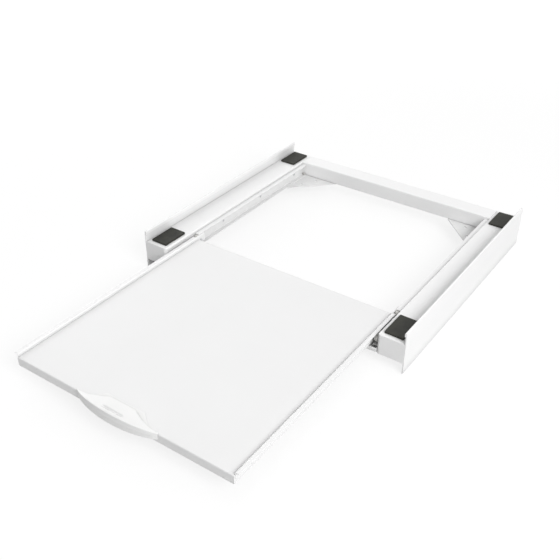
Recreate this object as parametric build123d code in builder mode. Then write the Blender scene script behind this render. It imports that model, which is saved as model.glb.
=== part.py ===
"""Washer dryer stacking kit: a steel frame between two machines, with a pull-out shelf on rollers.

Millimetres. +X is right, +Y is back, +Z is up. The origin is the middle of the front crossbar's
underside, so z = 0 is the top of the machine below. The shelf stands pulled out.
"""

from build123d import *
import math
import os

os.makedirs("parts", exist_ok=True)

# Frame
frame_width = 600
frame_depth = 550
rail_width = 55
rail_shoulder = 5.6
lip_rise = 24
skirt_drop = 22
plate_sheet = 2
hem_depth = 8
rail_sheet = 1.5
rail_bend = 2.5
weld_flange = 15
foot_flange = 10
corner_radius = 6
corner_run = 8

# Front crossbar, back beam and corner plates
crossbar_depth = 40
crossbar_height = 9
beam_depth = 41
beam_lip = 8
gusset_leg = 96
gusset_sheet = 2
gusset_turn = 8.5
gusset_lap = 32
gusset_hole_radius = 3.5
gusset_hole_from_beam = 14
gusset_hole_from_rail = 28
beam_screw_shares = (0.25, 0.75)

# Rubber pads on the seat
pad_width = 38
pad_length = 61
pad_height = 4
pad_end_margin = 9.5
pad_corner = 2
pad_edge = 0.6

# Roller slides
runner_sheet = 1.2
runner_bend = 2
front_roller_radius = 11
rear_roller_radius = 12.2
roller_width = 8
roller_gap = 2.05
roller_edge = 0.6
flange_gap = 1.8
rim_gap = 4.8
rim_rise = 6.3
rim_bend = 2.5
front_opening = 84
front_roller_inset = 12
rear_roller_inset = 13
stop_height = 5
stop_width = 6
stop_length = 3.5
stop_peg_radius = 1.5

# Shelf
shelf_recess = 6
shelf_tail = 20
shelf_back_gap = 2
roller_spacing = 74
shelf_sheet = 1
shelf_bend = 2
shelf_hem = 9
shelf_clearance = 2.3
runner_nose = 6
runner_set_back = 2

# Handle
handle_half_length = 86
handle_reach = 17
handle_end_reach = 3
handle_rise = 8.6
handle_end_rise = 2.4
handle_drop = 13.5
handle_end_drop = 11
handle_nose = 2.5
handle_edge = 3.5
handle_wall = 3
handle_crown_share = 0.415
handle_crown_back = 15
handle_shoulder_share = 0.683
handle_shoulder_back = 5
handle_base = 1.6
handle_base_step = 6
pocket_end_margin = 12
pocket_roof = 2
groove_length = 46
groove_width = 4
groove_depth = 1.2
groove_front = 8
handle_screw_half_gap = 30
handle_screw_back = 8

# Fasteners and axles
rivet_radius = 1.6
rivet_head_radius = 3
rivet_head_height = 0.9
rivet_tail_radius = 2.4
rivet_tail_height = 1.2
runner_rivet_count = 4
runner_rivet_inset = 40
axle_radius = 2.5
axle_head_radius = 4
axle_head_height = 0.9
axle_shoulder_radius = 4
axle_tail_height = 1.2
axle_edge_margin = 0.5
small_screw_radius = 2
small_screw_head_radius = 3.4
small_screw_head_height = 2.2
small_screw_length = 7.5
clinch_nut_radius = 2.7
clinch_nut_height = 4
large_screw_radius = 2.5
large_screw_head_radius = 4.7
large_screw_head_height = 3.2
large_screw_length = 9
hex_nut_half_width = 4
hex_nut_height = 4
crossbar_screw_half_gap = 8
handle_screw_length = 6.5

# Clearances
running_clearance = 0.3
axle_clearance = 0.05
hole_clearance = 0.05

# Places across the width, on the right side
side_face = frame_width / 2
plate_inner = side_face - plate_sheet
rail_inner = side_face - rail_width
runner_web = rail_inner - runner_sheet
roller_outer = runner_web - roller_gap
roller_inner = roller_outer - roller_width
slide_web = roller_inner - roller_gap
shelf_half = slide_web - runner_sheet
runner_edge = slide_web + flange_gap
rim_edge = runner_web - rim_gap
seat_middle = (rail_inner + plate_inner) / 2

# Places along the depth
frame_front = -crossbar_depth / 2
frame_back = frame_front + frame_depth
beam_front = frame_back - beam_depth
runner_front = frame_front + corner_run
front_roller_y = runner_front + front_roller_inset
rear_roller_y = front_roller_y + roller_spacing
slide_back = rear_roller_y + rear_roller_inset
shelf_travel = beam_front - shelf_back_gap - slide_back
shelf_front = frame_front + shelf_recess - shelf_travel
shelf_back = slide_back - shelf_tail
shelf_depth = shelf_back - shelf_front
slide_front = shelf_front + runner_set_back
rim_end = rear_roller_y - rear_roller_radius - roller_gap

# Heights
runner_floor = crossbar_height + runner_sheet
runner_top = runner_floor + 2 * rear_roller_radius + 2 * running_clearance + runner_sheet
rail_height = runner_top + rail_shoulder
lip_top = rail_height + lip_rise
rim_top = runner_top - runner_sheet - running_clearance
rim_underside = rim_top - runner_sheet
shelf_top = rim_top - rim_rise
shelf_bottom = crossbar_height + shelf_clearance
front_roller_z = rim_underside - running_clearance - front_roller_radius
rear_roller_z = runner_floor + running_clearance + rear_roller_radius
slide_bottom = rear_roller_z - axle_head_radius - axle_edge_margin
gusset_bottom = crossbar_height - gusset_sheet
runner_rivet_z = (runner_floor + runner_top) / 2
shelf_rivet_z = (slide_bottom + shelf_top) / 2
crossbar_screw_z = (rail_sheet + crossbar_height) / 2


def section_at(y):
    """The upright plane across the object at this depth, with x to the right and y up."""
    return Plane.XZ.offset(-y)


def spread(start, end, count):
    """Evenly spaced places from start to end."""
    return [start + (end - start) * step / (count - 1) for step in range(count)]


def save(piece, name):
    """Label a finished piece and write its file."""
    piece.part.label = name
    export_step(piece.part, f"parts/{name}.step")


# Places of the fasteners
runner_rivet_ys = spread(
    runner_front + runner_rivet_inset, beam_front - runner_rivet_inset, runner_rivet_count
)
shelf_rivet_ys = spread(
    shelf_front + runner_rivet_inset, shelf_back - runner_rivet_inset, runner_rivet_count
)
crossbar_screw_ys = [-crossbar_screw_half_gap, crossbar_screw_half_gap]
beam_screw_spots = [
    (rail_inner - share * gusset_leg, beam_front + gusset_lap / 2) for share in beam_screw_shares
]
handle_screw_y = shelf_front + handle_screw_back
handle_screw_spots = [(-handle_screw_half_gap, handle_screw_y), (handle_screw_half_gap, handle_screw_y)]


def turned(outline, y, z):
    """A turned piece about the line along X at y and z, from points of x and radius."""
    middle = Plane(origin=(0, y, z), x_dir=(1, 0, 0), z_dir=(0, -1, 0))
    with BuildPart() as piece:
        with BuildSketch(middle):
            with BuildLine():
                Polyline(*outline, close=True)
            make_face()
        revolve(axis=Axis(middle.origin, middle.x_dir))
    return piece


def rivet(grip):
    """A rivet standing on its sheet: head above z = 0, shank and tail below."""
    with BuildPart() as piece:
        with BuildSketch(Plane.XZ):
            with BuildLine():
                Polyline(
                    (0, -grip - rivet_tail_height),
                    (rivet_tail_radius, -grip - rivet_tail_height),
                    (rivet_tail_radius, -grip),
                    (rivet_radius, -grip),
                    (rivet_radius, 0),
                    (rivet_head_radius, 0),
                    (rivet_head_radius, rivet_head_height / 3),
                    (rivet_radius, rivet_head_height),
                    (0, rivet_head_height),
                    close=True,
                )
            make_face()
        revolve(axis=Axis.Z)
    return piece.part


def screw(radius, head_radius, head_height, length):
    """A pan head screw: head above z = 0 with a cross recess, shank below."""
    with BuildPart() as piece:
        with BuildSketch():
            Circle(head_radius)
        extrude(amount=head_height)
        fillet(piece.edges().group_by(Axis.Z)[-1], radius=head_height / 2)
        with BuildSketch(Plane.XY.offset(head_height)):
            Rectangle(head_radius, head_radius / 4)
            Rectangle(head_radius / 4, head_radius)
        extrude(amount=-head_height / 2, mode=Mode.SUBTRACT)
        with BuildSketch():
            Circle(radius)
        extrude(amount=-length)
        chamfer(piece.edges().group_by(Axis.Z)[0], length=radius / 4)
    return piece.part


# Side plate: one sheet from skirt to lip, with its top edge folded back on itself
with BuildPart() as side_plate:
    with BuildSketch(section_at(frame_back)):
        with BuildLine():
            outside = Line((side_face, -skirt_drop), (side_face, lip_top - plate_sheet))
            over = ThreePointArc(
                outside @ 1,
                (side_face - plate_sheet, lip_top),
                (side_face - 2 * plate_sheet, lip_top - plate_sheet),
            )
            Polyline(
                over @ 1,
                (side_face - 2 * plate_sheet, lip_top - hem_depth),
                (plate_inner, lip_top - hem_depth),
                (plate_inner, -skirt_drop),
                outside @ 0,
            )
        make_face()
    extrude(amount=frame_depth)

# Rail: a folded box that is open to the side plate, with flanges welded to it
with BuildPart() as rail:
    with BuildSketch(section_at(frame_back)):
        with BuildLine():
            FilletPolyline(
                (plate_inner, rail_height - weld_flange),
                (plate_inner, rail_height),
                (rail_inner, rail_height),
                (rail_inner, 0),
                (plate_inner, 0),
                (plate_inner, foot_flange),
                radius=rail_bend,
            )
            offset(amount=rail_sheet, side=Side.LEFT)
        make_face()
    extrude(amount=frame_depth)
    # Room for the two end plates between the top and bottom sheets
    with BuildSketch(Plane.XY.offset(rail_sheet)):
        with Locations((rail_inner, frame_front)):
            Rectangle(rail_width, corner_run, align=(Align.MIN, Align.MIN))
        with Locations((rail_inner, frame_back)):
            Rectangle(rail_width, rail_sheet, align=(Align.MIN, Align.MAX))
    extrude(amount=rail_height - 2 * rail_sheet, mode=Mode.SUBTRACT)
    # Rounded front inner corner of the top and bottom sheets
    with BuildSketch():
        with Locations((rail_inner, frame_front)):
            Rectangle(corner_radius, corner_radius, align=(Align.MIN, Align.MIN))
        with Locations((rail_inner + corner_radius, frame_front + corner_radius)):
            Circle(corner_radius, mode=Mode.SUBTRACT)
    extrude(amount=rail_height, mode=Mode.SUBTRACT)
    # Holes for the runner rivets, the roller axle and the crossbar screws
    with BuildSketch(Plane.YZ.offset(rail_inner)):
        with Locations(*[(y, runner_rivet_z) for y in runner_rivet_ys]):
            Circle(rivet_radius + hole_clearance)
        with Locations((front_roller_y, front_roller_z)):
            Circle(axle_radius + hole_clearance)
        with Locations(*[(y, crossbar_screw_z) for y in crossbar_screw_ys]):
            Circle(small_screw_radius + hole_clearance)
    extrude(amount=rail_sheet, mode=Mode.SUBTRACT)

# Front end plate: fills the rail's front and turns round the inner corner
with BuildPart() as front_end_plate:
    with BuildSketch(Plane.XY.offset(rail_sheet)):
        with BuildLine():
            FilletPolyline(
                (plate_inner, frame_front),
                (rail_inner, frame_front),
                (rail_inner, frame_front + corner_run),
                radius=corner_radius,
            )
            offset(amount=rail_sheet, side=Side.RIGHT)
        make_face()
    extrude(amount=rail_height - 2 * rail_sheet)

# Rear end plate
with BuildPart() as rear_end_plate:
    with BuildSketch(Plane.XY.offset(rail_sheet)):
        with Locations((rail_inner, frame_back)):
            Rectangle(plate_inner - rail_inner, rail_sheet, align=(Align.MIN, Align.MAX))
    extrude(amount=rail_height - 2 * rail_sheet)

# Places of the buffers, in front of and behind the rear roller's travel
stop_drop = rear_roller_radius - stop_height + running_clearance
stop_distance = math.sqrt(rear_roller_radius**2 - stop_drop**2) + running_clearance
stop_x = roller_outer - stop_width / 2
stop_spots = [
    (stop_x, rear_roller_y - stop_distance - stop_length / 2),
    (stop_x, rear_roller_y + shelf_travel + stop_distance + stop_length / 2),
]

# Frame runner: a C against the rail, whose top flange starts behind the front roller
with BuildPart() as frame_runner:
    with BuildSketch(section_at(beam_front)):
        with BuildLine():
            FilletPolyline(
                (runner_edge, runner_top),
                (rail_inner, runner_top),
                (rail_inner, crossbar_height),
                (runner_edge, crossbar_height),
                radius=runner_bend,
            )
            offset(amount=runner_sheet, side=Side.RIGHT)
        make_face()
    extrude(amount=beam_front - runner_front)
    with BuildSketch(Plane.XY.offset(runner_top - runner_bend)):
        with Locations((runner_edge, runner_front)):
            Rectangle(
                rail_inner - runner_bend - runner_edge,
                front_opening,
                align=(Align.MIN, Align.MIN),
            )
    extrude(amount=runner_bend, mode=Mode.SUBTRACT)
    with BuildSketch(Plane.XY.offset(crossbar_height)):
        with Locations(*stop_spots):
            Circle(stop_peg_radius + hole_clearance)
    extrude(amount=runner_sheet, mode=Mode.SUBTRACT)
    with BuildSketch(Plane.YZ.offset(runner_web)):
        with Locations(*[(y, runner_rivet_z) for y in runner_rivet_ys]):
            Circle(rivet_radius + hole_clearance)
        with Locations((front_roller_y, front_roller_z)):
            Circle(axle_radius + hole_clearance)
    extrude(amount=runner_sheet, mode=Mode.SUBTRACT)

# Buffers: nylon blocks pegged into the floor of the frame runners, to stop the rear rollers
with BuildPart() as runner_stops:
    with BuildSketch(Plane.XY.offset(runner_floor)):
        with Locations(*stop_spots):
            Rectangle(stop_width, stop_length)
    extrude(amount=stop_height)
    chamfer(runner_stops.faces().group_by(Axis.Z)[-1].edges(), length=roller_edge)
    with BuildSketch(Plane.XY.offset(runner_floor)):
        with Locations(*stop_spots):
            Circle(stop_peg_radius)
    extrude(amount=hole_clearance - runner_sheet)
    mirror(about=Plane.YZ)
save(runner_stops, "runner_stops")

# Corner plate: lies under the back beam, with one edge turned down along the rail
with BuildPart() as gusset:
    with BuildSketch(section_at(beam_front + gusset_lap)):
        with BuildLine():
            FilletPolyline(
                (rail_inner - gusset_leg, crossbar_height),
                (rail_inner, crossbar_height),
                (rail_inner, crossbar_height - gusset_turn),
                radius=gusset_sheet + runner_sheet,
            )
            offset(amount=gusset_sheet, side=Side.RIGHT)
        make_face()
    extrude(amount=gusset_lap + gusset_leg)
    # The slanted free edge
    with BuildSketch():
        with BuildLine():
            Polyline(
                (rail_inner - gusset_leg, beam_front - gusset_leg),
                (rail_inner, beam_front - gusset_leg),
                (rail_inner - gusset_leg, beam_front),
                close=True,
            )
        make_face()
    extrude(amount=crossbar_height, mode=Mode.SUBTRACT)
    with BuildSketch(Plane.XY.offset(gusset_bottom)):
        with Locations(
            (rail_inner - gusset_leg / 2, beam_front - gusset_hole_from_beam),
            (rail_inner - gusset_hole_from_rail, beam_front - gusset_leg / 2),
        ):
            Circle(gusset_hole_radius)
        with Locations(*beam_screw_spots):
            Circle(large_screw_radius + hole_clearance)
    extrude(amount=gusset_sheet, mode=Mode.SUBTRACT)

# Shelf runner: a strip on the tray's side whose rim turns outward over the front roller
with BuildPart() as shelf_runner:
    with BuildSketch(section_at(slide_back)):
        with BuildLine():
            FilletPolyline(
                (shelf_half, slide_bottom),
                (shelf_half, rim_top),
                (rim_edge, rim_top),
                radius=rim_bend,
            )
            offset(amount=runner_sheet, side=Side.RIGHT)
        make_face()
    extrude(amount=slide_back - slide_front)
    # The rim stops short of the rear roller, which stands as high as the rim
    with BuildSketch(Plane.XY.offset(rim_underside)):
        with Locations((roller_inner - running_clearance, rim_end)):
            Rectangle(rim_edge - slide_web, slide_back - rim_end, align=(Align.MIN, Align.MIN))
    extrude(amount=runner_sheet, mode=Mode.SUBTRACT)
    with BuildSketch(Plane.YZ.offset(shelf_half)):
        with BuildLine():
            Polyline(
                (slide_front, slide_bottom),
                (slide_front + runner_nose, slide_bottom),
                (slide_front, slide_bottom + runner_nose),
                close=True,
            )
        make_face()
        with Locations(*[(y, shelf_rivet_z) for y in shelf_rivet_ys]):
            Circle(rivet_radius + hole_clearance)
        with Locations((rear_roller_y, rear_roller_z)):
            Circle(axle_radius + hole_clearance)
    extrude(amount=runner_sheet, mode=Mode.SUBTRACT)

# Rollers: plain wheels with a recess for the head of their axle
recess_depth = axle_head_height + 2 * running_clearance - axle_clearance
recess_radius = axle_head_radius + running_clearance
bore_radius = axle_radius + axle_clearance
front_roller = turned(
    [
        (roller_inner, recess_radius),
        (roller_inner, front_roller_radius - roller_edge),
        (roller_inner + roller_edge, front_roller_radius),
        (roller_outer - roller_edge, front_roller_radius),
        (roller_outer, front_roller_radius - roller_edge),
        (roller_outer, bore_radius),
        (roller_inner + recess_depth, bore_radius),
        (roller_inner + recess_depth, recess_radius),
    ],
    front_roller_y,
    front_roller_z,
)
rear_roller = turned(
    [
        (roller_outer, recess_radius),
        (roller_outer, rear_roller_radius - roller_edge),
        (roller_outer - roller_edge, rear_roller_radius),
        (roller_inner + roller_edge, rear_roller_radius),
        (roller_inner, rear_roller_radius - roller_edge),
        (roller_inner, bore_radius),
        (roller_outer - recess_depth, bore_radius),
        (roller_outer - recess_depth, recess_radius),
    ],
    rear_roller_y,
    rear_roller_z,
)

# Axles: a shoulder against the runner, a head in the roller's recess, a tail behind the sheet
front_head_x = roller_inner + recess_depth - running_clearance
front_axle = turned(
    [
        (front_head_x - axle_head_height, 0),
        (front_head_x - axle_head_height, axle_head_radius),
        (front_head_x, axle_head_radius),
        (front_head_x, axle_radius),
        (roller_outer + running_clearance, axle_radius),
        (roller_outer + running_clearance, axle_shoulder_radius),
        (runner_web, axle_shoulder_radius),
        (runner_web, axle_radius),
        (rail_inner + rail_sheet, axle_radius),
        (rail_inner + rail_sheet, axle_head_radius),
        (rail_inner + rail_sheet + axle_tail_height, axle_head_radius),
        (rail_inner + rail_sheet + axle_tail_height, 0),
    ],
    front_roller_y,
    front_roller_z,
)
rear_head_x = roller_outer - recess_depth + running_clearance
rear_axle = turned(
    [
        (rear_head_x + axle_head_height, 0),
        (rear_head_x + axle_head_height, axle_head_radius),
        (rear_head_x, axle_head_radius),
        (rear_head_x, axle_radius),
        (roller_inner - running_clearance, axle_radius),
        (roller_inner - running_clearance, axle_shoulder_radius),
        (slide_web, axle_shoulder_radius),
        (slide_web, axle_radius),
        (shelf_half, axle_radius),
        (shelf_half, axle_head_radius),
        (shelf_half - axle_tail_height, axle_head_radius),
        (shelf_half - axle_tail_height, 0),
    ],
    rear_roller_y,
    rear_roller_z,
)

# The pieces that come in a left and a right, made on the right and mirrored
paired = {
    "side_plate": side_plate,
    "rail": rail,
    "front_end_plate": front_end_plate,
    "rear_end_plate": rear_end_plate,
    "frame_runner": frame_runner,
    "gusset": gusset,
    "shelf_runner": shelf_runner,
    "front_roller": front_roller,
    "rear_roller": rear_roller,
}
for name, right_piece in paired.items():
    with BuildPart() as left_piece:
        mirror(right_piece.part, about=Plane.YZ)
    save(right_piece, f"right_{name}")
    save(left_piece, f"left_{name}")

for name, right_axle in {"front_roller_axles": front_axle, "rear_roller_axles": rear_axle}.items():
    with BuildPart() as axles:
        add(right_axle.part)
        mirror(about=Plane.YZ)
    save(axles, name)

# Rubber pads, one near each corner of the seat
for row, pad_y in {
    "front": frame_front + pad_end_margin + pad_length / 2,
    "rear": frame_back - pad_end_margin - pad_length / 2,
}.items():
    for hand, pad_x in {"left": -seat_middle, "right": seat_middle}.items():
        with BuildPart() as pad:
            with BuildSketch(Plane.XY.offset(rail_height)):
                with Locations((pad_x, pad_y)):
                    RectangleRounded(pad_width, pad_length, pad_corner)
            extrude(amount=pad_height)
            chamfer(pad.faces().sort_by(Axis.Z)[-1].edges(), length=pad_edge)
        save(pad, f"{row}_{hand}_pad")

# Back beam: a channel that is open to the back
with BuildPart() as back_beam:
    with BuildSketch(Plane.YZ.offset(-rail_inner)):
        with BuildLine():
            FilletPolyline(
                (frame_back, rail_height - beam_lip),
                (frame_back, rail_height),
                (beam_front, rail_height),
                (beam_front, crossbar_height),
                (frame_back, crossbar_height),
                (frame_back, crossbar_height + beam_lip),
                radius=rail_bend,
            )
            offset(amount=rail_sheet, side=Side.LEFT)
        make_face()
    extrude(amount=2 * rail_inner)
    with BuildSketch(Plane.XY.offset(crossbar_height)):
        with Locations(*beam_screw_spots, *[(-x, y) for x, y in beam_screw_spots]):
            Circle(large_screw_radius + hole_clearance)
    extrude(amount=rail_sheet, mode=Mode.SUBTRACT)
save(back_beam, "back_beam")

# Front crossbar: a flat channel that is open upward, with a lug at each end
with BuildPart() as front_crossbar:
    with BuildSketch():
        Rectangle(2 * rail_inner, crossbar_depth)
    extrude(amount=crossbar_height)
    fillet(front_crossbar.edges().filter_by(Axis.X).group_by(Axis.Z)[0], radius=rail_bend)
    with BuildSketch(Plane.XY.offset(rail_sheet)):
        Rectangle(2 * rail_inner - 2 * rail_sheet, crossbar_depth - 2 * rail_sheet)
    extrude(amount=crossbar_height, mode=Mode.SUBTRACT)
    with BuildSketch(Plane.YZ.offset(-rail_inner)):
        with Locations(*[(y, crossbar_screw_z) for y in crossbar_screw_ys]):
            Circle(small_screw_radius + hole_clearance)
    extrude(amount=2 * rail_inner, mode=Mode.SUBTRACT)
save(front_crossbar, "front_crossbar")

# Shelf tray: a sheet folded down on all four sides, with hems turned in below
with BuildPart() as shelf_tray:
    with BuildSketch(Plane.XY.offset(shelf_bottom)):
        with Locations((0, shelf_front)):
            Rectangle(2 * shelf_half, shelf_depth, align=(Align.CENTER, Align.MIN))
    extrude(amount=shelf_top - shelf_bottom)
    fillet(shelf_tray.faces().sort_by(Axis.Z)[-1].edges(), radius=shelf_bend)
    with BuildSketch(Plane.XY.offset(shelf_bottom + shelf_sheet)):
        with Locations((0, shelf_front + shelf_sheet)):
            Rectangle(
                2 * shelf_half - 2 * shelf_sheet,
                shelf_depth - 2 * shelf_sheet,
                align=(Align.CENTER, Align.MIN),
            )
    extrude(amount=shelf_top - shelf_bottom - 2 * shelf_sheet, mode=Mode.SUBTRACT)
    with BuildSketch(Plane.XY.offset(shelf_bottom)):
        with Locations((0, shelf_front + shelf_hem)):
            Rectangle(
                2 * shelf_half - 2 * shelf_hem,
                shelf_depth - 2 * shelf_hem,
                align=(Align.CENTER, Align.MIN),
            )
    extrude(amount=shelf_sheet, mode=Mode.SUBTRACT)
    with BuildSketch(Plane.YZ.offset(-shelf_half)):
        with Locations(*[(y, shelf_rivet_z) for y in shelf_rivet_ys]):
            Circle(rivet_radius + hole_clearance)
    extrude(amount=2 * shelf_half, mode=Mode.SUBTRACT)
    with BuildSketch(Plane.XY.offset(shelf_top - shelf_sheet)):
        with Locations(*handle_screw_spots):
            Circle(small_screw_radius + hole_clearance)
    extrude(amount=shelf_sheet, mode=Mode.SUBTRACT)
save(shelf_tray, "shelf_tray")

# Handle: a moulded bow over the tray's front edge, with a finger pocket behind its front wall
handle_top = shelf_top + handle_rise
handle_bottom = shelf_top - handle_drop
handle_crown_half = handle_crown_share * handle_half_length
handle_shoulder_half = handle_shoulder_share * handle_half_length
with BuildPart() as handle:
    with BuildSketch(Plane.XY.offset(handle_bottom)):
        with BuildLine():
            bow = ThreePointArc(
                (-handle_half_length, shelf_front - handle_end_reach),
                (0, shelf_front - handle_reach),
                (handle_half_length, shelf_front - handle_end_reach),
            )
            Polyline(
                bow @ 1,
                (handle_half_length, shelf_front),
                (handle_shoulder_half, shelf_front + handle_shoulder_back),
                (handle_crown_half, shelf_front + handle_crown_back),
                (-handle_crown_half, shelf_front + handle_crown_back),
                (-handle_shoulder_half, shelf_front + handle_shoulder_back),
                (-handle_half_length, shelf_front),
                bow @ 0,
            )
        make_face()
    extrude(amount=handle_top - handle_bottom)
    # Arched top and bottom edges, seen from the front
    with BuildSketch(section_at(shelf_front + handle_crown_back)):
        with BuildLine():
            arch = ThreePointArc(
                (-handle_half_length, shelf_top + handle_end_rise),
                (0, handle_top),
                (handle_half_length, shelf_top + handle_end_rise),
            )
            belly = ThreePointArc(
                (handle_half_length, shelf_top - handle_end_drop),
                (0, handle_bottom),
                (-handle_half_length, shelf_top - handle_end_drop),
            )
            Line(arch @ 1, belly @ 0)
            Line(belly @ 1, arch @ 0)
        make_face()
    extrude(amount=handle_reach + handle_crown_back, mode=Mode.INTERSECT)
    nose = handle.edges().filter_by(lambda edge: edge.length > 1.5 * handle_half_length)
    fillet(nose.group_by(Axis.Z)[-1], radius=handle_nose)
    crown = handle.faces().filter_by(GeomType.CYLINDER).sort_by(Axis.Z)[-1]
    crown_back_y = shelf_front + handle_shoulder_back
    fillet(crown.edges().filter_by(lambda edge: edge.center().Y > crown_back_y), radius=handle_edge)
    # Base rim on the tray
    with BuildSketch(Plane.XY.offset(shelf_top)):
        with BuildLine():
            Polyline(
                (handle_half_length, shelf_front),
                (handle_shoulder_half + handle_base_step, shelf_front + handle_shoulder_back),
                (handle_crown_half + handle_base_step, shelf_front + handle_crown_back + handle_base_step),
                (-handle_crown_half - handle_base_step, shelf_front + handle_crown_back + handle_base_step),
                (-handle_shoulder_half - handle_base_step, shelf_front + handle_shoulder_back),
                (-handle_half_length, shelf_front),
                close=True,
            )
        make_face()
    extrude(amount=handle_base)
    # Seat on the tray's top and front
    with BuildSketch(Plane.XY.offset(handle_bottom)):
        with Locations((0, shelf_front)):
            Rectangle(2 * handle_half_length, handle_crown_back, align=(Align.CENTER, Align.MIN))
    extrude(amount=handle_drop, mode=Mode.SUBTRACT)
    # Finger pocket, open below
    pocket_half = handle_half_length - pocket_end_margin
    with BuildSketch(Plane.XY.offset(handle_bottom)):
        with BuildLine():
            pocket_front = ThreePointArc(
                (-pocket_half, shelf_front - handle_end_reach),
                (0, shelf_front - handle_reach + handle_wall),
                (pocket_half, shelf_front - handle_end_reach),
            )
            Polyline(
                pocket_front @ 1,
                (pocket_half, shelf_front),
                (-pocket_half, shelf_front),
                pocket_front @ 0,
            )
        make_face()
    extrude(amount=handle_drop + pocket_roof, mode=Mode.SUBTRACT)
    # Shallow groove along the crown
    with BuildSketch(Plane.XY.offset(handle_top)):
        with Locations((0, shelf_front - groove_front)):
            SlotOverall(groove_length, groove_width)
    extrude(amount=-groove_depth, mode=Mode.SUBTRACT)
    # Blind holes for the screws
    with BuildSketch(Plane.XY.offset(shelf_top)):
        with Locations(*handle_screw_spots):
            Circle(small_screw_radius + hole_clearance)
    extrude(amount=handle_screw_length - shelf_sheet + running_clearance, mode=Mode.SUBTRACT)
save(handle, "handle")

# Rivets through the frame runners and the rails, heads inside the runners
with BuildPart() as runner_rivets:
    with Locations(*[Plane((runner_web, y, runner_rivet_z), z_dir=(-1, 0, 0)) for y in runner_rivet_ys]):
        add(rivet(runner_sheet + rail_sheet))
    mirror(about=Plane.YZ)
save(runner_rivets, "runner_rivets")

# Rivets through the shelf runners and the tray's sides, heads outside
with BuildPart() as shelf_rivets:
    with Locations(*[Plane((slide_web, y, shelf_rivet_z), z_dir=(1, 0, 0)) for y in shelf_rivet_ys]):
        add(rivet(runner_sheet + shelf_sheet))
    mirror(about=Plane.YZ)
save(shelf_rivets, "shelf_rivets")

# Crossbar screws through its end lugs, with clinch nuts inside the rails
with BuildPart() as crossbar_screws:
    with Locations(
        *[Plane((rail_inner - rail_sheet, y, crossbar_screw_z), z_dir=(-1, 0, 0)) for y in crossbar_screw_ys]
    ):
        add(screw(small_screw_radius, small_screw_head_radius, small_screw_head_height, small_screw_length))
    mirror(about=Plane.YZ)
save(crossbar_screws, "crossbar_screws")

with BuildPart() as crossbar_nuts:
    with BuildSketch(Plane.YZ.offset(rail_inner + rail_sheet)):
        with Locations(*[(y, crossbar_screw_z) for y in crossbar_screw_ys]):
            Circle(clinch_nut_radius)
            Circle(small_screw_radius + hole_clearance, mode=Mode.SUBTRACT)
    extrude(amount=clinch_nut_height)
    mirror(about=Plane.YZ)
save(crossbar_nuts, "crossbar_nuts")

# Beam screws from below the corner plates, with hexagon nuts inside the beam
with BuildPart() as beam_screws:
    with Locations(*[Plane((x, y, gusset_bottom), z_dir=(0, 0, -1)) for x, y in beam_screw_spots]):
        add(screw(large_screw_radius, large_screw_head_radius, large_screw_head_height, large_screw_length))
    mirror(about=Plane.YZ)
save(beam_screws, "beam_screws")

with BuildPart() as beam_nuts:
    with BuildSketch(Plane.XY.offset(crossbar_height + rail_sheet)):
        with Locations(*beam_screw_spots):
            RegularPolygon(hex_nut_half_width, 6, major_radius=False)
            Circle(large_screw_radius + hole_clearance, mode=Mode.SUBTRACT)
    extrude(amount=hex_nut_height)
    mirror(about=Plane.YZ)
save(beam_nuts, "beam_nuts")

# Handle screws, up through the tray into the handle
with BuildPart() as handle_screws:
    with Locations(
        *[Plane((x, y, shelf_top - shelf_sheet), z_dir=(0, 0, -1)) for x, y in handle_screw_spots]
    ):
        add(screw(small_screw_radius, small_screw_head_radius, small_screw_head_height, handle_screw_length))
save(handle_screws, "handle_screws")
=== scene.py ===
"""Looks of the washer dryer stacking kit: white powder-coated steel, rubber pads, a moulded handle."""

import math

import bmesh
import bpy
from mathutils import Matrix, Vector


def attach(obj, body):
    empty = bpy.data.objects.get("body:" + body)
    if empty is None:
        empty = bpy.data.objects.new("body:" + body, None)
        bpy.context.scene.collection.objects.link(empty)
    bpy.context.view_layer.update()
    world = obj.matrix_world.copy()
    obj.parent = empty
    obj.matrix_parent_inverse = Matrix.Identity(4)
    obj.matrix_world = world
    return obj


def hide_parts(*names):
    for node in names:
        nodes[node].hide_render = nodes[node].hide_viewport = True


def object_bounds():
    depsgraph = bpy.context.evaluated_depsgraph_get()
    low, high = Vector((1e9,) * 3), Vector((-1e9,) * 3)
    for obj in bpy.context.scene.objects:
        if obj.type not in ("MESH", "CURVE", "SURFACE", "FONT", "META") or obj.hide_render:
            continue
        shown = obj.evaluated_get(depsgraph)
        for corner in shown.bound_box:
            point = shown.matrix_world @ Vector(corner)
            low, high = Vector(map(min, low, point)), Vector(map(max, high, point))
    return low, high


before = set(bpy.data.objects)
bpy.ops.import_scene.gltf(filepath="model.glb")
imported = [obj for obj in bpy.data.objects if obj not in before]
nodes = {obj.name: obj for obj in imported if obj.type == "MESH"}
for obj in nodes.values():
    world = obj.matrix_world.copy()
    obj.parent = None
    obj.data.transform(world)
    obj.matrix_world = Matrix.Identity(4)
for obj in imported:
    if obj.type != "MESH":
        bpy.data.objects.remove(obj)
cad_low, cad_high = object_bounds()


# Camera, fitted to the outline of the frame and shelf
camera_place = (0.723666, -1.02682, 0.88596)
camera_azimuth = math.radians(34.274)
camera_elevation = math.radians(33.635)
camera_roll = math.radians(0.601)
camera_lens = 51.003
camera_sensor = 36
camera_nearest = 0.01

# Lamps: name, place and diameter in metres, and power in watts
lamp_target = Vector((0, 0.05, 0))
lamps = (
    ("top_light", (0.3, 0.1, 3.6), 3.0, 8),
    ("side_light", (3.02, -1.32, 2.4), 2.4, 120),
    ("fill_light", (-2.4, 2.5, 1.9), 2.6, 22),
    ("low_light", (-3.1, 0.9, 1.0), 2.4, 34),
)

# World: soft light, strongest from the right front and above
sky_towards = (0.86, -0.3, 0.42)
sky_level = 0.35
sky_slope = 0.2

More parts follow.
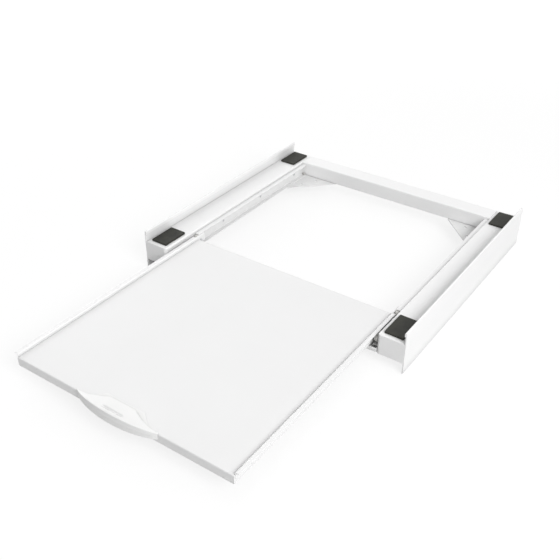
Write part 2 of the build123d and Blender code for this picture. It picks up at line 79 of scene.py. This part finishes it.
# Floor, in metres and in shares of white. Its own glow grows to full white away from the object.
floor_half = 12
floor_gap = 0.0005
floor_bounce = 0.55
floor_seen = 0.2
glow_near = (1.0, 0.81)
glow_far = (4.0, 1.0)

# Surfaces: depths and reaches in metres, noise scales in cells per metre, other tones as shares of the base tone
# Painted highlight on the coat's edges: the reach of the edge mask and the edge's tone
coat_edge_radius = 0.0012
coat_highlight_tone = 1.06
coat_cloud_scale = 9.0
coat_cloud_tone = 0.985
coat_peel_scale = 420.0
coat_peel_depth = 0.00006
coat_speck_scale = 900.0
coat_speck_share = 0.25
coat_ior = 1.5
# Painted shade in the plastic's seams: its reach, and the share of the tone left in it
plastic_painted_shade_reach = 0.012
plastic_painted_shade_tone = 0.45
plastic_cloud_scale = 30.0
plastic_cloud_tone = 0.97
plastic_grain_depth = 0.00005
plastic_ior = 1.49
rubber_roughness = 0.75
rubber_dust_scale = 60.0
rubber_pebble_scale = 900.0
rubber_pebble_depth = 0.0002
zinc_mottle_scale = 260.0
zinc_mottle_depth = 0.00003
bevel_samples = 4
# Samples of the ambient occlusion that masks the painted shade
painted_shade_samples = 8
# Cap on the tone of the painted edge highlight
brightest = 0.95
black = (0, 0, 0)
full_white = (1, 1, 1)

# Handle, in millimetres, with the same measures as the solid. Pairs are heights at the tips and in the middle.
half_length = 86
pocket_half = 74
tray_front = -414.0
tray_top = 28.6
base_top = tray_top + 1.6
pocket_roof = tray_top + 2.0
wall = 3.0
nose = 1.3
tip_stand_off = 0.8
bow = 16.0
bow_fullness = 0.8
band_bottom = (17.6, 15.1)
crown_at_front = (31.0, 37.2)
crown_at_back = (30.7, 35.0)
crown_fall = 1.8
crown_flat_half = 27
crown_back = -397.5
crown_back_radius = 2.4
rim_flat_half = 40
rim_back = -391.5
groove_middle = -422.0
groove_half_width = 3.4
groove_half_length = 25
groove_run_out = 7
groove_depth = 1.9
seam_place = 0.55
seam_half_width = 0.25
seam_height = 0.15
lower_round = 0.6
lower_margin = 0.9
inner_round = 0.3
roof_slope_share = 0.3
crown_back_share = 0.3
crown_back_drop = 0.8
foot_round = 0.5
foot_share = 0.4
foot_middle = 0.4
foot_lift = 0.06
rim_round = 0.35
low_band_rows = (0.25, 0.5, 0.75)
high_band_rows = (0.33, 0.66)
foot_rows = (0.3, 0.6, 0.85)
nose_steps = 5
crown_steps = 44
back_steps = 7
per_metre = 1000
weld_distance = 0.00001
sharpest_smooth = math.radians(38)


def add_camera():
    back = Vector((
        math.sin(camera_azimuth) * math.cos(camera_elevation),
        -math.cos(camera_azimuth) * math.cos(camera_elevation),
        math.sin(camera_elevation),
    ))
    level_right = (-back).cross(Vector((0, 0, 1))).normalized()
    level_up = level_right.cross(-back)
    right = math.cos(camera_roll) * level_right + math.sin(camera_roll) * level_up
    up = -math.sin(camera_roll) * level_right + math.cos(camera_roll) * level_up
    data = bpy.data.cameras.new("camera")
    data.sensor_width = camera_sensor
    data.lens = camera_lens
    data.clip_start = camera_nearest
    camera = bpy.data.objects.new("camera", data)
    turn = Matrix((right, up, back)).transposed().to_4x4()
    camera.matrix_world = Matrix.Translation(camera_place) @ turn
    bpy.context.scene.collection.objects.link(camera)
    bpy.context.scene.camera = camera


# Node helpers
def new_material(name):
    material = bpy.data.materials.new(name)
    material.use_nodes = True
    tree = material.node_tree
    return material, tree, tree.nodes["Principled BSDF"]


def object_coordinates(tree):
    return tree.nodes.new("ShaderNodeTexCoord").outputs["Object"]


def feed(tree, sockets, values):
    """Set each socket to its number or tuple, or link it to its output."""
    for socket, value in zip(sockets, values):
        if isinstance(value, (int, float, tuple)):
            socket.default_value = value
        else:
            tree.links.new(value, socket)


def noise(tree, coordinates, scale, detail=2.0, roughness=0.5):
    node = tree.nodes.new("ShaderNodeTexNoise")
    node.inputs["Scale"].default_value = scale
    node.inputs["Detail"].default_value = detail
    node.inputs["Roughness"].default_value = roughness
    tree.links.new(coordinates, node.inputs["Vector"])
    return node.outputs["Fac"]


def ramp(tree, value, *stops):
    """A colour that runs between two stops, each a place on the value and its colour."""
    node = tree.nodes.new("ShaderNodeValToRGB")
    for element, (place, colour) in zip(node.color_ramp.elements, stops):
        element.position = place
        element.color = (*colour, 1)
    tree.links.new(value, node.inputs["Fac"])
    return node.outputs["Color"]


def mixed(tree, factor, first, second):
    """From an output's colour at factor 0 to a plain colour at 1."""
    node = tree.nodes.new("ShaderNodeMix")
    node.data_type = "RGBA"
    feed(tree, (node.inputs["Factor"], node.inputs["A"], node.inputs["B"]), (factor, first, (*second, 1)))
    return node.outputs["Result"]


def maths(tree, operation, *values):
    node = tree.nodes.new("ShaderNodeMath")
    node.operation = operation
    feed(tree, node.inputs, values)
    return node.outputs["Value"]


def vector_maths(tree, operation, *values):
    node = tree.nodes.new("ShaderNodeVectorMath")
    node.operation = operation
    feed(tree, node.inputs, values)
    return node.outputs["Value"]


def bump(tree, shader, heights, distance, strength):
    node = tree.nodes.new("ShaderNodeBump")
    node.inputs["Strength"].default_value = strength
    node.inputs["Distance"].default_value = distance
    tree.links.new(heights, node.inputs["Height"])
    tree.links.new(node.outputs["Normal"], shader.inputs["Normal"])


def edge_highlight_mask(tree, reach):
    """0 on flat faces, more on the outer edges and corners, where the highlight is painted."""
    bevel = tree.nodes.new("ShaderNodeBevel")
    bevel.samples = bevel_samples
    bevel.inputs["Radius"].default_value = reach
    geometry = tree.nodes.new("ShaderNodeNewGeometry")
    dot = vector_maths(tree, "DOT_PRODUCT", bevel.outputs["Normal"], geometry.outputs["Normal"])
    return maths(tree, "SUBTRACT", 1.0, dot)


def crease(tree, reach):
    """Ambient occlusion: 1 in the open, falling towards 0 down in a seam or corner, where shade is painted."""
    node = tree.nodes.new("ShaderNodeAmbientOcclusion")
    node.samples = painted_shade_samples
    node.inputs["Distance"].default_value = reach
    return node.outputs["AO"]


def times(tone, share):
    return tuple(c * share for c in tone)


def gloss(tree, shader, pattern, roughness, spread):
    """Roughness that varies by spread with the pattern."""
    varied = maths(tree, "MULTIPLY_ADD", pattern, spread, roughness - spread / 2)
    tree.links.new(varied, shader.inputs["Roughness"])


# Powder coat: a fine orange peel, faint clouding in tone and gloss, a painted highlight on the edges, painted
# shade in the seams
def powder_coat(name, level, roughness=0.42, painted_shade_reach=0.014, painted_shade_tone=0.72):
    tone = (level, level, level)
    material, tree, shader = new_material(name)
    place = object_coordinates(tree)
    cloud = noise(tree, place, coat_cloud_scale, detail=3.0)
    speck = noise(tree, place, coat_speck_scale, detail=1.0)
    base = ramp(tree, cloud, (0.3, times(tone, coat_cloud_tone)), (0.7, tone))
    # Painted highlight: the coat is lighter on its outer edges and corners
    highlight_share = ramp(tree, edge_highlight_mask(tree, coat_edge_radius), (0.02, black), (0.25, full_white))
    edge = mixed(tree, highlight_share, base, tuple(min(c, brightest) for c in times(tone, coat_highlight_tone)))
    # Painted shade: the tone darkens where ambient occlusion finds a seam or corner
    seam = ramp(tree, crease(tree, painted_shade_reach), (0.25, full_white), (0.93, black))
    finish = mixed(tree, seam, edge, times(tone, painted_shade_tone))
    tree.links.new(finish, shader.inputs["Base Color"])
    gloss(tree, shader, cloud, roughness, spread=0.08)
    peel = noise(tree, place, coat_peel_scale)
    heights = maths(tree, "MULTIPLY_ADD", speck, coat_speck_share, peel)
    bump(tree, shader, heights, coat_peel_depth, strength=0.5)
    shader.inputs["IOR"].default_value = coat_ior
    return material


# Moulded plastic: a fine grain, faint clouding, painted shade in the seams
def moulded_plastic(name, tone, roughness, grain_scale):
    material, tree, shader = new_material(name)
    place = object_coordinates(tree)
    cloud = noise(tree, place, plastic_cloud_scale)
    base = ramp(tree, cloud, (0.3, times(tone, plastic_cloud_tone)), (0.7, tone))
    # Painted shade: the tone darkens where ambient occlusion finds a seam or corner
    seam = ramp(tree, crease(tree, plastic_painted_shade_reach), (0.35, full_white), (0.97, black))
    finish = mixed(tree, seam, base, times(tone, plastic_painted_shade_tone))
    tree.links.new(finish, shader.inputs["Base Color"])
    gloss(tree, shader, cloud, roughness, spread=0.1)
    bump(tree, shader, noise(tree, place, grain_scale), plastic_grain_depth, strength=0.5)
    shader.inputs["IOR"].default_value = plastic_ior
    return material


# Rubber: matt, with a fine pebbled skin and a little dust
def rubber(name, clean, dusty):
    material, tree, shader = new_material(name)
    place = object_coordinates(tree)
    dust = noise(tree, place, rubber_dust_scale, detail=4.0, roughness=0.65)
    tree.links.new(ramp(tree, dust, (0.35, clean), (0.75, dusty)), shader.inputs["Base Color"])
    shader.inputs["Roughness"].default_value = rubber_roughness
    cells = tree.nodes.new("ShaderNodeTexVoronoi")
    cells.inputs["Scale"].default_value = rubber_pebble_scale
    tree.links.new(place, cells.inputs["Vector"])
    bump(tree, shader, cells.outputs["Distance"], rubber_pebble_depth, strength=0.6)
    return material


# Zinc-plated steel: grey, with a mottled passivation
def zinc(name, dull, bright):
    material, tree, shader = new_material(name)
    mottle = noise(tree, object_coordinates(tree), zinc_mottle_scale, detail=3.0)
    tree.links.new(ramp(tree, mottle, (0.3, dull), (0.7, bright)), shader.inputs["Base Color"])
    shader.inputs["Metallic"].default_value = 1.0
    gloss(tree, shader, mottle, 0.35, spread=0.2)
    bump(tree, shader, mottle, zinc_mottle_depth, strength=0.4)
    return material


# Handle: one moulded shell, as a section at each millimetre along x
def arched(x, end, middle):
    """Height over x of the arc through end at both tips and middle at the centre."""
    rise = middle - end
    radius = (half_length ** 2 + rise ** 2) / (2 * abs(rise))
    return middle - math.copysign(radius - math.sqrt(radius ** 2 - x ** 2), rise)


def eased(share):
    """0 to 1 with no kink at either end."""
    share = min(max(share, 0.0), 1.0)
    return share * share * (3 - 2 * share)


def tapered(x, flat_half, back):
    """Back edge: straight in the middle, then sweeping to the tray's front edge at the tips."""
    share = max(0.0, (abs(x) - flat_half) / (half_length - flat_half))
    return back + (tray_front - back) * (1 - (1 - share) ** 2)


def crown_height(x, y, front, back):
    """Top of the crown, which falls towards its back and has a shallow groove along it."""
    top = arched(x, *crown_at_front)
    low = arched(x, *crown_at_back)
    share = (y - front) / (back - front)
    height = top - (top - low) * share ** crown_fall
    across = abs(y - groove_middle) / groove_half_width
    if across < 1:
        run_out = eased((groove_half_length - abs(x)) / groove_run_out)
        height -= groove_depth * (1 - across ** 2) ** 2 * run_out
    return height


def band_points(front, bottom, nose_bottom):
    """Front band, from its lower round up to the nose, with the raised parting line round it."""
    seam = bottom + seam_place * (nose_bottom - bottom)
    points = [(front + lower_round, bottom), (front, bottom + lower_round)]
    for share in low_band_rows:
        points.append((front, bottom + lower_round + share * (seam - lower_margin - bottom)))
    points += [(front, seam - seam_half_width), (front - seam_height, seam), (front, seam + seam_half_width)]
    for share in high_band_rows:
        points.append((front, seam + seam_half_width + share * (nose_bottom - seam - seam_half_width)))
    return points


def crown_points(x, front, crown, nose_bottom):
    """Nose, top and rounded back of the crown, down to just above the foot."""
    points = []
    for step in range(nose_steps + 1):
        turn = math.pi / 2 * step / nose_steps
        points.append((front + nose * (1 - math.cos(turn)), nose_bottom + nose * math.sin(turn)))
    start = front + nose
    edge = min(crown_back_radius, crown_back_share * (crown - start))
    for step in range(1, crown_steps + 1):
        y = start + (crown - edge - start) * step / crown_steps
        points.append((y, crown_height(x, y, front, crown)))
    brow = points[-1][1]
    drop = brow - base_top
    for step in range(1, back_steps + 1):
        turn = math.pi / 2 * step / back_steps
        points.append((
            crown - edge + edge * math.sin(turn),
            brow - crown_back_drop * drop * (1 - math.cos(turn)),
        ))
    return points, drop


def foot_points(crown, rim, drop):
    """Thin foot that lies on the tray behind the crown."""
    foot = min(foot_round, foot_share * max(rim - crown, 0.0))
    reach = max(rim - crown - foot, 0.0)
    end = crown + foot + reach
    points = [(crown + foot_middle * foot, base_top + foot_lift * drop), (crown + foot, base_top)]
    for share in foot_rows:
        points.append((crown + foot + share * reach, base_top))
    return points + [(end, base_top - rim_round), (end, tray_top)]


def handle_section(x, hollow):
    """Points of (y, z) round the section at x; hollow where the finger pocket is."""
    front = tray_front - tip_stand_off - bow * max(0.0, 1 - (x / half_length) ** 2) ** bow_fullness
    bottom = arched(x, *band_bottom)
    crown = max(tapered(x, crown_flat_half, crown_back), front + 2 * nose)
    rim = max(tapered(x, rim_flat_half, rim_back), tray_front)
    nose_bottom = crown_height(x, front, front, crown) - nose
    inner = min(front + wall, tray_front) if hollow else tray_front
    roof = pocket_roof if hollow else bottom
    points = [(inner, bottom + inner_round), (inner - inner_round, bottom)]
    points += band_points(front, bottom, nose_bottom)
    top_points, drop = crown_points(x, front, crown, nose_bottom)
    points += top_points + foot_points(crown, rim, drop)
    points += [(tray_front, tray_top), (tray_front, roof)]
    points.append((inner + roof_slope_share * (tray_front - inner), roof))
    points.append((inner, roof - inner_round if hollow else roof))
    return points


def handle_columns():
    """Places along x, each with whether the pocket is open there, and both at the pocket's ends."""
    columns = []
    for x in range(-half_length, half_length + 1):
        if abs(x) == pocket_half:
            columns += [(x, x > 0), (x, x < 0)]
        else:
            columns.append((x, abs(x) < pocket_half))
    return columns


def add_handle(material):
    mesh = bmesh.new()
    rings = []
    for x, hollow in handle_columns():
        rings.append([
            mesh.verts.new((x / per_metre, y / per_metre, z / per_metre)) for y, z in handle_section(x, hollow)
        ])
    for first, second in zip(rings, rings[1:]):
        count = len(first)
        for spot in range(count):
            after = (spot + 1) % count
            mesh.faces.new((first[spot], first[after], second[after], second[spot]))
    mesh.faces.new(rings[0][::-1])
    mesh.faces.new(rings[-1])
    bmesh.ops.remove_doubles(mesh, verts=mesh.verts, dist=weld_distance)
    bmesh.ops.dissolve_degenerate(mesh, edges=mesh.edges, dist=weld_distance)
    bmesh.ops.recalc_face_normals(mesh, faces=mesh.faces)
    for face in mesh.faces:
        face.smooth = True
    for edge in mesh.edges:
        edge.smooth = len(edge.link_faces) == 2 and edge.calc_face_angle(0) < sharpest_smooth
    data = bpy.data.meshes.new("moulded_handle")
    mesh.to_mesh(data)
    mesh.free()
    data.materials.append(material)
    piece = bpy.data.objects.new("moulded_handle", data)
    bpy.context.scene.collection.objects.link(piece)
    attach(piece, "shelf")
    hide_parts("handle")


def seen_directly(tree):
    """1 for the camera, reflections and what is seen through glass."""
    path = tree.nodes.new("ShaderNodeLightPath")
    seen = maths(tree, "MAXIMUM", path.outputs["Is Camera Ray"], path.outputs["Is Glossy Ray"])
    return maths(tree, "MAXIMUM", seen, path.outputs["Is Transmission Ray"])


def two_faced(tree, output_type, lighting, seen):
    """One shader for the light that falls on the object, another for what the camera sees."""
    out = tree.nodes.new(output_type)
    mix = tree.nodes.new("ShaderNodeMixShader")
    feed(tree, mix.inputs, (seen_directly(tree), lighting, seen))
    tree.links.new(mix.outputs[0], out.inputs["Surface"])


def plain_shader(tree, kind, level):
    node = tree.nodes.new(kind)
    node.inputs["Color"].default_value = (level, level, level, 1)
    return node


# Stage: a floor that is white to the camera and keeps the object's shadow
def add_stage():
    mesh = bpy.data.meshes.new("floor")
    shape = bmesh.new()
    bmesh.ops.create_grid(shape, x_segments=1, y_segments=1, size=floor_half)
    shape.to_mesh(mesh)
    shape.free()
    floor = bpy.data.objects.new("floor", mesh)
    bpy.context.scene.collection.objects.link(floor)
    floor.location = (0, 0, cad_low[2] - floor_gap)
    material = bpy.data.materials.new("floor_paint")
    material.use_nodes = True
    tree = material.node_tree
    tree.nodes.clear()
    plain = plain_shader(tree, "ShaderNodeBsdfDiffuse", floor_bounce)
    shaded = plain_shader(tree, "ShaderNodeBsdfDiffuse", floor_seen)
    glow = tree.nodes.new("ShaderNodeEmission")
    far = tree.nodes.new("ShaderNodeMapRange")
    far.interpolation_type = "SMOOTHSTEP"
    far.inputs["From Min"].default_value, far.inputs["To Min"].default_value = glow_near
    far.inputs["From Max"].default_value, far.inputs["To Max"].default_value = glow_far
    tree.links.new(vector_maths(tree, "LENGTH", object_coordinates(tree)), far.inputs["Value"])
    tree.links.new(far.outputs["Result"], glow.inputs["Strength"])
    both = tree.nodes.new("ShaderNodeAddShader")
    feed(tree, both.inputs, (shaded.outputs[0], glow.outputs[0]))
    two_faced(tree, "ShaderNodeOutputMaterial", plain.outputs[0], both.outputs[0])
    mesh.materials.append(material)


def add_world():
    world = bpy.data.worlds.new("studio")
    bpy.context.scene.world = world
    world.use_nodes = True
    tree = world.node_tree
    tree.nodes.clear()
    soft = plain_shader(tree, "ShaderNodeBackground", 1)
    direction = tree.nodes.new("ShaderNodeTexCoord").outputs["Generated"]
    slope = vector_maths(tree, "DOT_PRODUCT", direction, sky_towards)
    level = maths(tree, "MULTIPLY_ADD", slope, sky_slope, sky_level)
    tree.links.new(level, soft.inputs["Strength"])
    white = plain_shader(tree, "ShaderNodeBackground", 1)
    white.inputs["Strength"].default_value = 1.0
    two_faced(tree, "ShaderNodeOutputWorld", soft.outputs[0], white.outputs[0])


def add_lamp(name, place, size, power):
    data = bpy.data.lights.new(name, "AREA")
    data.shape = "DISK"
    data.size = size
    data.energy = power
    lamp = bpy.data.objects.new(name, data)
    aim = (lamp_target - Vector(place)).to_track_quat("-Z", "Y").to_matrix().to_4x4()
    lamp.matrix_world = Matrix.Translation(place) @ aim
    bpy.context.scene.collection.objects.link(lamp)


def dress(node, material):
    piece = nodes[node]
    piece.data.materials.clear()
    piece.data.materials.append(material)


add_camera()
add_world()
add_stage()
for lamp in lamps:
    add_lamp(*lamp)

# White steel: each piece's tone, and how far the painted shade in its seams reaches and how much of the tone is
# left in it
white_enamel = powder_coat("white_enamel", 0.88)
runner_enamel = powder_coat("runner_white", 0.88, roughness=0.38, painted_shade_reach=0.03, painted_shade_tone=0.74)
side_enamel = powder_coat("side_white", 0.88, painted_shade_reach=0.022, painted_shade_tone=0.66)
# Painted shade: the corner gussets are a darker copy of the white coat, with wide painted seam shade
corner_enamel = powder_coat("corner_white", 0.86, painted_shade_reach=0.06, painted_shade_tone=0.78)
# Painted light: the beams are a lighter copy of the white coat
beam_enamel = powder_coat("beam_white", 0.92, painted_shade_tone=0.8)
# Painted light: the rails are a lighter copy of the white coat, with strong painted shade in their seams
rail_enamel = powder_coat("rail_white", 0.92, painted_shade_reach=0.03, painted_shade_tone=0.62)
shelf_enamel = powder_coat("shelf_white", 0.84, roughness=0.4)

handle_white = moulded_plastic("handle_white", (0.88, 0.88, 0.875), roughness=0.38, grain_scale=700.0)
roller_nylon = moulded_plastic("roller_nylon", (0.80, 0.79, 0.76), roughness=0.45, grain_scale=500.0)
pad_rubber = rubber("pad_rubber", clean=(0.011, 0.0115, 0.0085), dusty=(0.027, 0.0275, 0.0195))
bright_zinc = zinc("bright_zinc", dull=(0.52, 0.53, 0.54), bright=(0.66, 0.67, 0.68))

# Material of each CAD node by the end of its name, and white_enamel for the rest
finishes = {
    "_pad": pad_rubber,
    "_roller": roller_nylon,
    "_stops": roller_nylon,
    "_axles": bright_zinc,
    "_rivets": bright_zinc,
    "_screws": bright_zinc,
    "_nuts": bright_zinc,
    "handle": handle_white,
    "_tray": shelf_enamel,
    "_runner": runner_enamel,
    "_rail": rail_enamel,
    "_side_plate": side_enamel,
    "_beam": beam_enamel,
    "_gusset": corner_enamel,
}
for name in nodes:
    dress(name, next((finish for ending, finish in finishes.items() if name.endswith(ending)), white_enamel))

add_handle(handle_white)

bpy.context.scene.view_settings.view_transform = "Standard"
